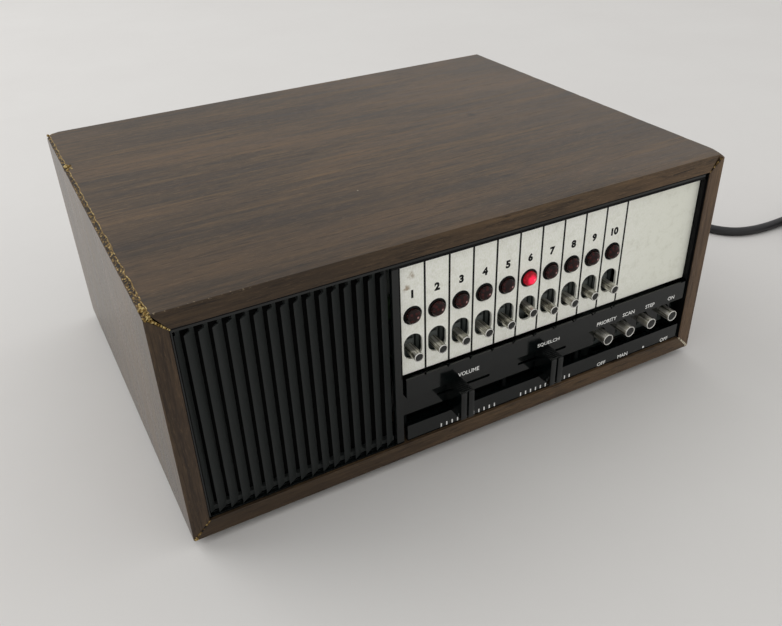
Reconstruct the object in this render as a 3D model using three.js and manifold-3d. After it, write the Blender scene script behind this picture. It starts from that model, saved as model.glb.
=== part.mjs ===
// A table-top crystal scanner radio: a mitred wood cabinet around a moulded front, with ten channel
// switches and lamps, four function switches, two slide controls, a speaker behind louvres and a
// mains cord.
import * as THREE from "three";
import { mergeVertices } from "three/addons/utils/BufferGeometryUtils.js";
import Module from "manifold-3d";

const wasm = await Module();
wasm.setup();

// ---------------------------------------------------------------------------------------------------
// Driving dimensions in millimetres. x runs to the right, y to the back and z up. In the scanner's own
// group y = 0 is the front edge of the wood and z = 0 is the underside of the cabinet.
// ---------------------------------------------------------------------------------------------------
const GAP = 0.3;

const CABINET = { width: 268, depth: 204.4, height: 107.65, board: 7.84, mitreGap: 0.3 };
const FOOT = { height: 4, radius: 9, inset: 22 };

const FRONT = { face: 1.2, thickness: 2.1, skirtWall: 0.8, skirtBack: 14 };
const WINDOW = { left: -36.4, right: 125.1, top: 96.6 };
const SPEAKER_WINDOW = { right: -39.9, top: 97.7 };

const LOUVRE = { first: -126.7, pitch: 5.104, count: 17, width: 4.4, slant: 2.9, thickness: 1.1 };
const LOUVRE_TOP = { blade: 95, tabShare: 0.6 };
const GRILLE_RAIL = { front: 3.8, back: 6, height: 2.3 };

const PLATE = { face: 3.6, thickness: 1.2, left: -38.2, right: 124.8, bottom: 43.05, top: 97.8 };
const CHANNEL = { count: 10, firstLine: -35.48, pitch: 11.662, holeRadius: 4.385 };
const LAMP_HEIGHT = 71.6;
const SLOT = { bottom: 49.98, top: 62.43 };
const CHANNEL_LEVER = { radius: 2.2, rim: 0.45, tip: -1.5, low: 53.55, travel: 2.5, raised: 6 };

const PANEL = { left: -34.6, right: 125.7, top: 41.7, roomTop: 42, ceiling: 32 };
const PANEL_WALL = { face: 4.9, bottom: 19.8, right: 122.5 };
const NOTCH = { count: 10, first: -25.6, pitch: 11.39, width: 0.8, depth: 0.6 };
const LIP = { bottom: 8.2, top: 16.5, shelfBack: 8.7 };
const WALL = 1.5;
const SLIDE = { height: 25, slitLength: 28.2, slitHeight: 1.4, potLength: 42 };
const SLIDERS = [
  { name: "volume", centre: -3.2, handle: -9.2 },
  { name: "squelch", centre: 40.7, handle: 39.3 },
];
const HANDLE = { width: 6.7, front: -7.9, back: 4.5, bottom: 17, top: 31.7, groove: 1 };
const FUNCTION_LEVER = { radius: 2.9, rim: 0.5, tip: -1.6, high: 25.35, travel: 5.5 };
const FUNCTION_SLOT = { width: 7, top: 29 };
const FUNCTIONS = [
  { name: "priority_knob", x: 75.4 },
  { name: "scan_manual_knob", x: 89.1 },
  { name: "step_knob", x: 102.8 },
  { name: "power_knob", x: 116.7 },
];

const SPEAKER = { x: -83, z: 53.9 };
const REAR = { face: 196.5, thickness: 1.5 };
const JACKS = { antenna: -95, speaker: -68, power: -38, height: 70 };
const CHASSIS = { half: 118, front: 22, back: 187, bottom: 8.6, sheet: 1.2, flange: 12 };

// The cord lies on the surface under the feet, so its heights are measured from that surface.
const CORD = { radius: 2.8, exitX: 95, exitHeight: 24, reliefEnd: 222 };
const COIL = { x: 328, y: 36.5, innerTurn: 28, turns: 3, layers: 2 };
const PLUG = { x: 262, y: -17, length: 26, width: 24, thickness: 11.5, neck: 14 };

// The handles stand out in front of the wood, so the middle of the whole depth lies behind the middle of
// the boards' depth by half of that.
const FRONT_Y = -(CABINET.depth + HANDLE.front) / 2;

const FINISH = {
  walnut: { color: 0x57493c, roughness: 0.55, metalness: 0 },
  blackPlastic: { color: 0x1c1e1f, roughness: 0.35, metalness: 0 },
  silverPlate: { color: 0xd6d6ce, roughness: 0.38, metalness: 0.6 },
  redLens: { color: 0x4a0d10, roughness: 0.2, metalness: 0 },
  litLens: { color: 0xff3a58, roughness: 0.2, metalness: 0 },
  satinMetal: { color: 0xb5b2a6, roughness: 0.3, metalness: 1 },
  switchPlastic: { color: 0x303234, roughness: 0.5, metalness: 0 },
  rubber: { color: 0x191919, roughness: 0.8, metalness: 0 },
  sheetSteel: { color: 0x8d9194, roughness: 0.4, metalness: 1 },
  circuitBoard: { color: 0x3f5a34, roughness: 0.6, metalness: 0 },
  speakerPaper: { color: 0x20201e, roughness: 0.95, metalness: 0 },
  magnet: { color: 0x3a3a3c, roughness: 0.6, metalness: 0.3 },
  transformer: { color: 0x4c4a48, roughness: 0.55, metalness: 0.7 },
  capacitorSleeve: { color: 0x27406e, roughness: 0.4, metalness: 0 },
  jackMetal: { color: 0xc0c0bc, roughness: 0.25, metalness: 1 },
  cordJacket: { color: 0x1b1b1c, roughness: 0.5, metalness: 0 },
};

// ---------------------------------------------------------------------------------------------------
// Shapes
// ---------------------------------------------------------------------------------------------------

/** A geometry as a manifold solid, with its shared vertices merged and its collapsed faces dropped. */
function solidOf(geometry) {
  const bare = new THREE.BufferGeometry();
  bare.setAttribute("position", geometry.getAttribute("position").clone());
  if (geometry.index) bare.setIndex(geometry.index.clone());
  const merged = mergeVertices(bare, 1e-3);
  const faces = [];
  const index = merged.index.array;
  for (let i = 0; i < index.length; i += 3) {
    const [a, b, c] = [index[i], index[i + 1], index[i + 2]];
    if (a !== b && b !== c && c !== a) faces.push(a, b, c);
  }
  const vertProperties = new Float32Array(merged.getAttribute("position").array);
  return new wasm.Manifold(new wasm.Mesh({ numProp: 3, vertProperties, triVerts: new Uint32Array(faces) }));
}

/** A manifold solid as a geometry. */
function geometryOf(solid) {
  const mesh = solid.getMesh();
  const positions = new Float32Array(mesh.numVert * 3);
  for (let i = 0; i < mesh.numVert; i += 1) {
    const start = i * mesh.numProp;
    positions.set(mesh.vertProperties.subarray(start, start + 3), i * 3);
  }
  const geometry = new THREE.BufferGeometry();
  geometry.setAttribute("position", new THREE.BufferAttribute(positions, 3));
  geometry.setIndex(new THREE.BufferAttribute(new Uint32Array(mesh.triVerts), 1));
  geometry.computeVertexNormals();
  return geometry;
}

/** All the pieces joined into one body, without the tools. */
function shaped(pieces, tools = []) {
  const joined = pieces.map(solidOf).reduce((all, piece) => all.add(piece));
  return geometryOf(tools.map(solidOf).reduce((rest, tool) => rest.subtract(tool), joined));
}

/** The block between two corners. */
function block([x0, y0, z0], [x1, y1, z1]) {
  const geometry = new THREE.BoxGeometry(x1 - x0, y1 - y0, z1 - z0);
  return geometry.translate((x0 + x1) / 2, (y0 + y1) / 2, (z0 + z1) / 2);
}

/** An upright outline, given as [x, z] points with optional holes, that fills y0 to y1. */
function upright(outline, y0, y1, holes = []) {
  const shape = new THREE.Shape(outline.map(([x, z]) => new THREE.Vector2(x, z)));
  shape.holes = holes.map((hole) => new THREE.Path(hole.map(([x, z]) => new THREE.Vector2(x, z))));
  const geometry = new THREE.ExtrudeGeometry(shape, { depth: y1 - y0, bevelEnabled: false });
  return geometry.rotateX(Math.PI / 2).translate(0, y1, 0);
}

/** A solid turned about an axis along y through (x, z), from a profile of [radius, y] points. */
function turnedAlongY(profile, x, z, segments) {
  const points = profile.map(([radius, y]) => new THREE.Vector2(radius, y));
  return new THREE.LatheGeometry(points, segments).translate(x, 0, z);
}

/** A solid turned about an upright axis through (x, y), from a profile of [radius, z] points. */
function turnedAlongZ(profile, x, y, segments) {
  const points = profile.map(([radius, z]) => new THREE.Vector2(radius, z));
  return new THREE.LatheGeometry(points, segments).rotateX(Math.PI / 2).translate(x, y, 0);
}

/** The corners of a rectangle. */
function rectangle(x0, x1, z0, z1) {
  return [[x0, z0], [x1, z0], [x1, z1], [x0, z1]];
}

/** Points on a circle's arc, both ends included. */
function arc(x, z, radius, from, to, steps) {
  return Array.from({ length: steps + 1 }, (_, i) => {
    const angle = from + ((to - from) * i) / steps;
    return [x + radius * Math.cos(angle), z + radius * Math.sin(angle)];
  });
}

/** A full circle of points. */
function circle(x, z, radius, steps) {
  return arc(x, z, radius, 0, 2 * Math.PI, steps).slice(0, steps);
}

/** A tall slot with round ends. */
function tallSlot(x, z0, z1, radius, steps) {
  return [
    ...arc(x, z1 - radius, radius, 0, Math.PI, steps),
    ...arc(x, z0 + radius, radius, Math.PI, 2 * Math.PI, steps),
  ];
}

/** A wide slot with round ends. */
function wideSlot(x0, x1, z, radius, steps) {
  return [
    ...arc(x1 - radius, z, radius, -Math.PI / 2, Math.PI / 2, steps),
    ...arc(x0 + radius, z, radius, Math.PI / 2, (3 * Math.PI) / 2, steps),
  ];
}

/** A round tube along a route of [x, y, height] points. */
function tubeAlong(route, radius, sides, steps) {
  const section = new THREE.Shape(circle(0, 0, radius, sides).map(([x, y]) => new THREE.Vector2(x, y)));
  const extrudePath = new THREE.CatmullRomCurve3(route.map((point) => new THREE.Vector3(...point)));
  return new THREE.ExtrudeGeometry(section, { steps, bevelEnabled: false, extrudePath });
}

const scanner = new THREE.Group();
scanner.position.set(0, FRONT_Y, FOOT.height);
const onTheFloor = new THREE.Group();
onTheFloor.position.set(0, FRONT_Y, 0);
const root = new THREE.Group();
root.add(scanner, onTheFloor);

/** Adds one named mesh with a material of its own to a group. */
function place(name, geometry, finish, group = scanner) {
  const mesh = new THREE.Mesh(geometry, new THREE.MeshStandardMaterial(finish));
  mesh.name = name;
  group.add(mesh);
}

// ---------------------------------------------------------------------------------------------------
// Cabinet: four mitred boards on four rubber feet
// ---------------------------------------------------------------------------------------------------
function addCabinet() {
  const { width, depth, height, board, mitreGap } = CABINET;
  const half = width / 2;
  const shift = mitreGap / Math.SQRT2;
  const level = (outer, inner) => [
    [-half + shift, outer],
    [-half + board + shift, inner],
    [half - board - shift, inner],
    [half - shift, outer],
  ];
  place("cabinet_top", upright(level(height, height - board), 0, depth), FINISH.walnut);
  place("cabinet_bottom", upright(level(0, board), 0, depth), FINISH.walnut);
  const side = (direction) => [
    [direction * half, shift],
    [direction * half, height - shift],
    [direction * (half - board), height - board - shift],
    [direction * (half - board), board + shift],
  ];
  place("cabinet_left_side", upright(side(-1), 0, depth), FINISH.walnut);
  place("cabinet_right_side", upright(side(1), 0, depth), FINISH.walnut);

  const chamfer = 0.8;
  const profile = [
    [0, -FOOT.height],
    [FOOT.radius - chamfer, -FOOT.height],
    [FOOT.radius, chamfer - FOOT.height],
    [FOOT.radius, 0],
    [0, 0],
  ];
  const corners = [
    ["foot_front_left", -1, FOOT.inset],
    ["foot_front_right", 1, FOOT.inset],
    ["foot_rear_left", -1, depth - FOOT.inset],
    ["foot_rear_right", 1, depth - FOOT.inset],
  ];
  for (const [name, direction, y] of corners) {
    place(name, turnedAlongZ(profile, direction * (half - FOOT.inset), y, 16), FINISH.rubber);
  }
}

// ---------------------------------------------------------------------------------------------------
// Moulded front: frame, louvres and control panel
// ---------------------------------------------------------------------------------------------------
const OPENING = {
  side: CABINET.width / 2 - CABINET.board - GAP,
  bottom: CABINET.board + GAP,
  top: CABINET.height - CABINET.board - GAP,
};
const FRAME_BACK = FRONT.face + FRONT.thickness;

function addMoulding() {
  const { side, bottom, top } = OPENING;
  const edge = 0.6;
  const groove = { depth: 0.5, bottom: 97, top: 97.5 };
  const panelBack = 9.6;
  const skirt = FRONT.skirtWall;
  const around = rectangle(-side, side, bottom, top);
  const frame = upright(around, FRONT.face, FRAME_BACK);
  const speakerWindow = block(
    [-side + edge, 0, bottom + edge],
    [SPEAKER_WINDOW.right, FRAME_BACK, SPEAKER_WINDOW.top],
  );
  const plateWindow = block([WINDOW.left, 0, bottom + edge], [WINDOW.right, FRAME_BACK, WINDOW.top]);
  const skirtRing = upright(around, FRAME_BACK - 0.1, FRONT.skirtBack, [
    rectangle(-side + skirt, side - skirt, bottom + skirt, top - skirt),
  ]);
  const panelRoom = block([WINDOW.left, 0, 0], [side + 1, panelBack, PANEL.roomTop]);
  const topGroove = block(
    [SPEAKER_WINDOW.right, 0, groove.bottom],
    [side + 1, FRONT.face + groove.depth, groove.top],
  );
  const tools = [speakerWindow, plateWindow, panelRoom, topGroove];
  place("front_moulding", shaped([frame, skirtRing], tools), FINISH.blackPlastic);
}

/** A solid of constant section, given as [x, y] points, that fills z0 to z1. */
function standing(section, z0, z1) {
  const shape = new THREE.Shape(section.map(([x, y]) => new THREE.Vector2(x, y)));
  return new THREE.ExtrudeGeometry(shape, { depth: z1 - z0, bevelEnabled: false }).translate(0, 0, z0);
}

/** Upright blades that slant back to the right, held at both ends by rails behind the frame. */
function addGrille() {
  const { first, pitch, count, width, slant, thickness } = LOUVRE;
  const { blade: top, tabShare } = LOUVRE_TOP;
  const { front, back, height } = GRILLE_RAIL;
  const left = -OPENING.side + FRONT.skirtWall + GAP;
  const right = SPEAKER_WINDOW.right - GAP;
  const bottom = OPENING.bottom + FRONT.skirtWall + GAP;
  const railTop = OPENING.top - FRONT.skirtWall - GAP;
  const near = FRONT.face;
  const far = FRONT.face + slant;
  const pieces = [
    block([left, front, bottom], [right, back, bottom + height]),
    block([left, front, railTop - height], [right, back, railTop]),
  ];
  for (let k = 0; k < count; k += 1) {
    const x = first + k * pitch;
    const end = x + width;
    const tabStart = x + width * tabShare;
    const blade = [[x, near], [end, far], [end, far + thickness], [x + 0.6, near + thickness]];
    const tab = [[tabStart, near + slant * tabShare], [end, far], [end, back], [tabStart, back]];
    pieces.push(standing(blade, bottom, top), standing(tab, top - 1, SPEAKER_WINDOW.top - GAP));
  }
  const beyond = block([left - 10, 0, 0], [left, back + 1, CABINET.height]);
  place("speaker_grille", shaped(pieces, [beyond]), FINISH.blackPlastic);
}

function addControlPanel() {
  const { left, right, top, ceiling } = PANEL;
  const wall = PANEL_WALL;
  const wallBack = wall.face + WALL;
  const borderLeft = WINDOW.left + GAP;
  const reach = { bottom: 23, top: 34 };
  const webs = [left, 19, 62, wall.right - 2];
  const pieces = [
    block([left, FRONT.face, ceiling], [right, FRONT.face + WALL, top]),
    block([left, FRONT.face, ceiling], [right, wallBack, ceiling + WALL]),
    block([left, wall.face, wall.bottom], [wall.right, wallBack, ceiling + WALL]),
    block([borderLeft, wall.face, reach.bottom], [left + 1, wallBack, reach.top]),
    block([left, FRONT.face, LIP.bottom], [right, FRONT.face + WALL, LIP.top]),
    block([left, FRONT.face, LIP.top - WALL], [right, LIP.shelfBack, LIP.top]),
  ];
  for (const x of webs) {
    pieces.push(block([x, wallBack - 0.4, LIP.top - WALL], [x + 2, LIP.shelfBack, reach.bottom + 1]));
  }
  const slits = SLIDERS.map(({ centre }) => {
    const reachX = SLIDE.slitLength / 2;
    const outline = wideSlot(centre - reachX, centre + reachX, SLIDE.height, SLIDE.slitHeight / 2, 6);
    return upright(outline, wall.face - 1, wallBack + 1);
  });
  const radius = FUNCTION_SLOT.width / 2;
  const leverSlots = FUNCTIONS.map(({ x }) => {
    const outline = tallSlot(x, wall.bottom - 2 * radius, FUNCTION_SLOT.top, radius, 10);
    return upright(outline, wall.face - 1, wallBack + 1);
  });
  const notches = Array.from({ length: NOTCH.count }, (_, i) => {
    const x = NOTCH.first + NOTCH.pitch * i;
    return block([x, 0, top - NOTCH.depth], [x + NOTCH.width, FRONT.face + WALL + 1, top + 1]);
  });
  place("control_panel", shaped(pieces, [...slits, ...leverSlots, ...notches]), FINISH.blackPlastic);
}

// ---------------------------------------------------------------------------------------------------
// Channels: face plate, lamps and levers
// ---------------------------------------------------------------------------------------------------
const channelX = (number) => CHANNEL.firstLine + CHANNEL.pitch * (number - 0.5);
const channels = Array.from({ length: CHANNEL.count }, (_, i) => i + 1);

function addFaceplate() {
  const { left, right, bottom, top, face, thickness } = PLATE;
  const holes = channels.flatMap((number) => [
    circle(channelX(number), LAMP_HEIGHT, CHANNEL.holeRadius, 16),
    tallSlot(channelX(number), SLOT.bottom, SLOT.top, CHANNEL.holeRadius, 8),
  ]);
  const plate = upright(rectangle(left, right, bottom, top), face, face + thickness, holes);
  place("channel_faceplate", plate, FINISH.silverPlate);
}

function addLampLenses() {
  const lens = { radius: 3.6, tip: 0.9, shoulder: 2.6, flange: 4.9 };
  const flangeFront = PLATE.face + PLATE.thickness + GAP;
  const flangeBack = flangeFront + 1.2;
  const dome = [0.35, 0.7, 0.9].map((share) => [
    lens.radius * share,
    lens.shoulder - (lens.shoulder - lens.tip) * Math.sqrt(1 - share * share),
  ]);
  const profile = [
    [0, lens.tip],
    ...dome,
    [lens.radius, lens.shoulder],
    [lens.radius, flangeFront],
    [lens.flange, flangeFront],
    [lens.flange, flangeBack],
    [0, flangeBack],
  ];
  for (const number of channels) {
    const finish = number === CHANNEL_LEVER.raised ? FINISH.litLens : FINISH.redLens;
    place(`lamp_lens_${number}`, turnedAlongY(profile, channelX(number), LAMP_HEIGHT, 12), finish);
  }
}

/** A tubular lever along y with a thin rim, a sunken core and a tongue that enters its switch. */
function leverProfile({ radius, rim, tip }, bodyBack, tongueRadius, tongueBack) {
  const sink = 0.6;
  return [
    [0, tip + sink],
    [radius - rim, tip + sink],
    [radius - rim, tip],
    [radius, tip],
    [radius, bodyBack],
    [tongueRadius, bodyBack],
    [tongueRadius, tongueBack],
    [0, tongueBack],
  ];
}

const SWITCH = { front: 8, back: 19, tongue: 1.2, depth: 4 };
const FUNCTION_SWITCH = { front: 9, back: 19, tongue: 1.4, depth: 4 };

function addChannelLevers() {
  const profile = leverProfile(CHANNEL_LEVER, SWITCH.front - 0.8, SWITCH.tongue, SWITCH.front + 3);
  for (const number of channels) {
    const raised = number === CHANNEL_LEVER.raised ? CHANNEL_LEVER.travel : 0;
    const lever = turnedAlongY(profile, channelX(number), CHANNEL_LEVER.low + raised, 12);
    place(`channel_knob_${number}`, lever, FINISH.satinMetal);
  }

  const seam = 0.35;
  const room = SWITCH.tongue + 0.4;
  const end = CHANNEL.pitch * CHANNEL.count + CHANNEL.firstLine - seam;
  const body = block([CHANNEL.firstLine + seam, SWITCH.front, 47.5], [end, SWITCH.back, 65.5]);
  const slots = channels.map((number) => {
    const x = channelX(number);
    const { low, travel } = CHANNEL_LEVER;
    const deep = SWITCH.front + SWITCH.depth;
    return block([x - room, SWITCH.front - 1, low - room], [x + room, deep, low + travel + room]);
  });
  const seams = channels.slice(1).map((number) => {
    const x = channelX(number) - CHANNEL.pitch / 2;
    return block([x - seam, SWITCH.front - 1, 0], [x + seam, SWITCH.front + 2, CABINET.height]);
  });
  place("channel_switch_bank", shaped([body], [...slots, ...seams]), FINISH.switchPlastic);
}

function addLampBoard() {
  const board = { front: 13, thickness: 1.6, low: 66, high: 77.5 };
  const lamp = [[0, 7.5], [1.3, 7.7], [1.7, 8.6], [1.7, board.front + 0.5], [0, board.front + 0.5]];
  const pieces = channels.map((number) => turnedAlongY(lamp, channelX(number), LAMP_HEIGHT, 8));
  pieces.unshift(block([-36.5, board.front, board.low], [84, board.front + board.thickness, board.high]));
  place("lamp_board", shaped(pieces), FINISH.circuitBoard);
}

// ---------------------------------------------------------------------------------------------------
// Function levers and slide controls
// ---------------------------------------------------------------------------------------------------
function addFunctionLevers() {
  const { front, back, tongue, depth } = FUNCTION_SWITCH;
  const profile = leverProfile(FUNCTION_LEVER, front - 0.8, tongue, front + 3);
  const room = tongue + 0.4;
  const { high, travel } = FUNCTION_LEVER;
  for (const { name, x } of FUNCTIONS) {
    place(name, turnedAlongY(profile, x, high, 16), FINISH.satinMetal);
  }
  const body = block([68.5, front, 14.5], [123.5, back, 34]);
  const slots = FUNCTIONS.map(({ x }) =>
    block([x - room, front - 1, high - travel - room], [x + room, front + depth, high + room]),
  );
  place("function_switch_bank", shaped([body], slots), FINISH.switchPlastic);
}

function addSlideControls() {
  const pot = { front: 9, back: 17, bottom: 20, top: 30, slotDepth: 4.5 };
  const arm = { half: 0.8, thickness: 0.8, back: 12.5 };
  const { width, front, back, bottom, top, groove } = HANDLE;
  for (const { name, centre, handle } of SLIDERS) {
    const grip = block([handle - width / 2, front, bottom], [handle + width / 2, back, top]);
    const stem = block(
      [handle - arm.half, back - 1, SLIDE.height - arm.thickness / 2],
      [handle + arm.half, arm.back, SLIDE.height + arm.thickness / 2],
    );
    const mark = block(
      [handle - groove / 2, front - 1, bottom - 1],
      [handle + groove / 2, front + groove, top + 1],
    );
    place(`${name}_knob`, shaped([grip, stem], [mark]), FINISH.blackPlastic);

    const halfPot = SLIDE.potLength / 2;
    const halfSlit = SLIDE.slitLength / 2;
    const halfHeight = SLIDE.slitHeight / 2;
    const can = block([centre - halfPot, pot.front, pot.bottom], [centre + halfPot, pot.back, pot.top]);
    const track = block(
      [centre - halfSlit, pot.front - 1, SLIDE.height - halfHeight],
      [centre + halfSlit, pot.front + pot.slotDepth, SLIDE.height + halfHeight],
    );
    place(`${name}_slide_pot`, shaped([can], [track]), FINISH.sheetSteel);
  }
}

// ---------------------------------------------------------------------------------------------------
// Speaker
// ---------------------------------------------------------------------------------------------------
function addSpeaker() {
  const { x, z } = SPEAKER;
  const basket = [
    [34, 8], [39, 8], [39, 9.4], [36.4, 9.4], [20.6, 26],
    [10, 26], [10, 24.6], [19.6, 24.6], [34, 9.2], [34, 8],
  ];
  const cone = [[0, 14], [4.5, 14.9], [8, 17.5], [33, 8.8], [33, 9.6], [8.5, 19.4], [0, 19.4]];
  const magnet = [[0, 26.3], [16, 26.3], [16, 36], [13, 36], [13, 39], [0, 39]];
  place("speaker_frame", turnedAlongY(basket, x, z, 20), FINISH.sheetSteel);
  place("speaker_cone", turnedAlongY(cone, x, z, 20), FINISH.speakerPaper);
  place("speaker_magnet", turnedAlongY(magnet, x, z, 16), FINISH.magnet);
}

// ---------------------------------------------------------------------------------------------------
// Chassis, boards and power supply
// ---------------------------------------------------------------------------------------------------
function addChassis() {
  const { half, front, back, bottom, sheet, flange } = CHASSIS;
  const top = bottom + sheet;
  const pieces = [
    block([-half, front, bottom], [half, back, top]),
    block([-half, front, bottom], [-half + sheet, back, top + flange]),
    block([half - sheet, front, bottom], [half, back, top + flange]),
    block([-half, back - sheet, bottom], [half, back, top + flange / 2]),
  ];
  place("chassis", shaped(pieces), FINISH.sheetSteel);
}

const BOARD = { bottom: 14, thickness: 1.6 };
const BOARD_TOP = BOARD.bottom + BOARD.thickness;

/** A circuit board on pillars that stand on the chassis. */
function boardPieces(x0, x1, y0, y1) {
  const pillar = 2.5;
  const inset = 6;
  const floor = CHASSIS.bottom + CHASSIS.sheet + GAP;
  const corners = [x0 + inset, x1 - inset].flatMap((x) => [y0 + inset, y1 - inset].map((y) => [x, y]));
  const pillars = corners.map(([x, y]) =>
    block([x - pillar, y - pillar, floor], [x + pillar, y + pillar, BOARD_TOP - 0.1]),
  );
  return [block([x0, y0, BOARD.bottom], [x1, y1, BOARD_TOP]), ...pillars];
}

function addBoards() {
  const main = boardPieces(-16, 110, 40, 168);
  const can = { half: 3.6, height: 11, columns: 4, rows: 3, firstX: 4, firstY: 62, pitchX: 19, pitchY: 24 };
  for (let column = 0; column < can.columns; column += 1) {
    for (let row = 0; row < can.rows; row += 1) {
      const x = can.firstX + column * can.pitchX;
      const y = can.firstY + row * can.pitchY;
      const foot = [x - can.half, y - can.half, BOARD_TOP - 0.1];
      main.push(block(foot, [x + can.half, y + can.half, BOARD_TOP + can.height]));
    }
  }
  const chip = { x0: 82, x1: 90, length: 19, height: 4 };
  for (const y of [58, 88, 118]) {
    main.push(block([chip.x0, y, BOARD_TOP - 0.1], [chip.x1, y + chip.length, BOARD_TOP + chip.height]));
  }
  place("main_circuit_board", shaped(main), FINISH.circuitBoard);

  const crystals = boardPieces(-112, -22, 62, 108);
  const crystal = { half: 2.2, front: 80, depth: 11, height: 13.5, first: -105, pitch: 8.4 };
  for (const number of channels) {
    const x = crystal.first + crystal.pitch * (number - 1);
    const foot = [x - crystal.half, crystal.front, BOARD_TOP - 0.1];
    const head = [x + crystal.half, crystal.front + crystal.depth, BOARD_TOP + crystal.height];
    crystals.push(block(foot, head));
  }
  place("crystal_board", shaped(crystals), FINISH.circuitBoard);
}

function addPowerSupply() {
  const floor = CHASSIS.bottom + CHASSIS.sheet + GAP;
  const core = block([-105, 142, floor + 1], [-63, 170, floor + 36]);
  const winding = block([-98, 134, floor + 8], [-70, 178, floor + 29]);
  const bracket = block([-112, 148, floor], [-56, 164, floor + 1.5]);
  place("power_transformer", shaped([core, winding, bracket]), FINISH.transformer);

  const can = { x: -40, y: 156, radius: 9, top: floor + 36 };
  const profile = [
    [0, floor],
    [can.radius, floor],
    [can.radius, can.top - 1],
    [can.radius - 1, can.top],
    [0, can.top],
  ];
  place("filter_capacitor", turnedAlongZ(profile, can.x, can.y, 16), FINISH.capacitorSleeve);
}

// ---------------------------------------------------------------------------------------------------
// Rear panel, sockets and strain relief
// ---------------------------------------------------------------------------------------------------
const RELIEF_HEIGHT = CORD.exitHeight - FOOT.height;
const PANEL_FRONT = REAR.face - REAR.thickness;

function addRearPanel() {
  const vent = { first: 8, pitch: 7.5, count: 14, width: 3, bottom: 52, top: 86 };
  const { side, bottom, top } = OPENING;
  const holes = [
    circle(JACKS.antenna, JACKS.height, 5.4, 16),
    circle(JACKS.speaker, JACKS.height, 4.4, 16),
    circle(JACKS.power, JACKS.height, 6.4, 16),
    circle(CORD.exitX, RELIEF_HEIGHT, 6.4, 16),
  ];
  for (let i = 0; i < vent.count; i += 1) {
    const x = vent.first + vent.pitch * i;
    holes.push(rectangle(x, x + vent.width, vent.bottom, vent.top));
  }
  const plate = upright(rectangle(-side, side, bottom, top), PANEL_FRONT, REAR.face);
  const tools = holes.map((hole) => upright(hole, PANEL_FRONT - 1, REAR.face + 1));
  place("rear_panel", shaped([plate], tools), FINISH.blackPlastic);
}

/** A socket through the rear panel: collar, nut and a blind bore, with an optional pin in the bore. */
function socketProfile({ barrel, collar, nut, mouth, bore, pin = 0 }) {
  const inside = PANEL_FRONT - GAP;
  const outside = REAR.face + GAP;
  const tip = 203.4;
  const floor = 192.5;
  return [
    [0, 188], [barrel, 188], [barrel, 191.5], [collar, 191.5], [collar, inside], [barrel, inside],
    [barrel, outside], [nut, outside], [nut, outside + 2.4], [mouth, outside + 2.4], [mouth, tip],
    [bore, tip], [bore, floor], ...(pin ? [[pin, floor], [pin, tip - 2], [0, tip - 2]] : [[0, floor]]),
  ];
}

function addRearSockets() {
  const antenna = { barrel: 5, collar: 7, nut: 6.8, mouth: 4.6, bore: 3.3 };
  const speaker = { barrel: 4, collar: 6, nut: 5.6, mouth: 3.8, bore: 1.8 };
  const power = { barrel: 6, collar: 8, nut: 8, mouth: 5.4, bore: 3.6, pin: 1 };
  const socket = (sizes, x) => turnedAlongY(socketProfile(sizes), x, JACKS.height, 16);
  place("antenna_jack", socket(antenna, JACKS.antenna), FINISH.jackMetal);
  place("external_speaker_jack", socket(speaker, JACKS.speaker), FINISH.jackMetal);
  place("dc_power_jack", socket(power, JACKS.power), FINISH.jackMetal);
}

function addStrainRelief() {
  const inside = PANEL_FRONT - GAP;
  const outside = REAR.face + GAP;
  const profile = [
    [0, 190], [7.6, 190], [7.6, inside], [6, inside], [6, outside], [7.4, outside], [7.4, outside + 2.4],
    [5.4, outside + 2.4], [3.7, CORD.reliefEnd], [0, CORD.reliefEnd],
  ];
  place("strain_relief", turnedAlongY(profile, CORD.exitX, RELIEF_HEIGHT, 16), FINISH.rubber);
}

// ---------------------------------------------------------------------------------------------------
// Mains cord: out of the rear, round the right side, into a coil and its plug
// ---------------------------------------------------------------------------------------------------
const ON_FLOOR = CORD.radius;
const RUN = [
  [CORD.exitX, CORD.reliefEnd + GAP, CORD.exitHeight],
  [95.2, 234, 23.4],
  [96.5, 247, 20.4],
  [100, 260, 14.8],
  [106.5, 272.5, 8.4],
  [117, 283, 4.2],
  [131, 290, ON_FLOOR],
  [148, 292.5, ON_FLOOR],
  [166, 290.5, ON_FLOOR],
  [183, 283.5, ON_FLOOR],
  [198, 271.5, ON_FLOOR],
  [209.5, 255.5, ON_FLOOR],
  [217.5, 237, ON_FLOOR],
  [223.5, 217, ON_FLOOR],
  [228.5, 196, ON_FLOOR],
  [233, 174, ON_FLOOR],
  [237, 152, ON_FLOOR],
  [240.8, 130, ON_FLOOR],
  [244.6, 109, ON_FLOOR],
  [249.1, 93.2, ON_FLOOR],
  [254.2, 85.6, ON_FLOOR],
  [260.8, 80.2, ON_FLOOR],
  [269.6, 77, ON_FLOOR],
  [279.1, 75.6, ON_FLOOR],
  [288.6, 75.3, ON_FLOOR],
  [298.7, 75.7, ON_FLOOR],
  [305, 76, ON_FLOOR],
];
const TAIL = [
  [328.5, -8.4, 6.4],
  [320.6, -12.4, 5],
  [311.5, -15.6, 4.7],
  [302.9, -16.9, 5.6],
];

function addCord() {
  place("mains_cord_run", tubeAlong(RUN, CORD.radius, 8, 34), FINISH.cordJacket, onTheFloor);

  const inner = COIL.innerTurn - CORD.radius;
  const outer = COIL.innerTurn + (2 * COIL.turns - 1) * CORD.radius;
  const top = 2 * CORD.radius * COIL.layers;
  const ring = [[inner, 0], [outer, 0], [outer, top], [inner, top], [inner, 0]];
  place("mains_cord_coil", turnedAlongZ(ring, COIL.x, COIL.y, 24), FINISH.cordJacket, onTheFloor);
  place("mains_cord_tail", tubeAlong(TAIL, CORD.radius, 8, 6), FINISH.cordJacket, onTheFloor);
}

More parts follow.
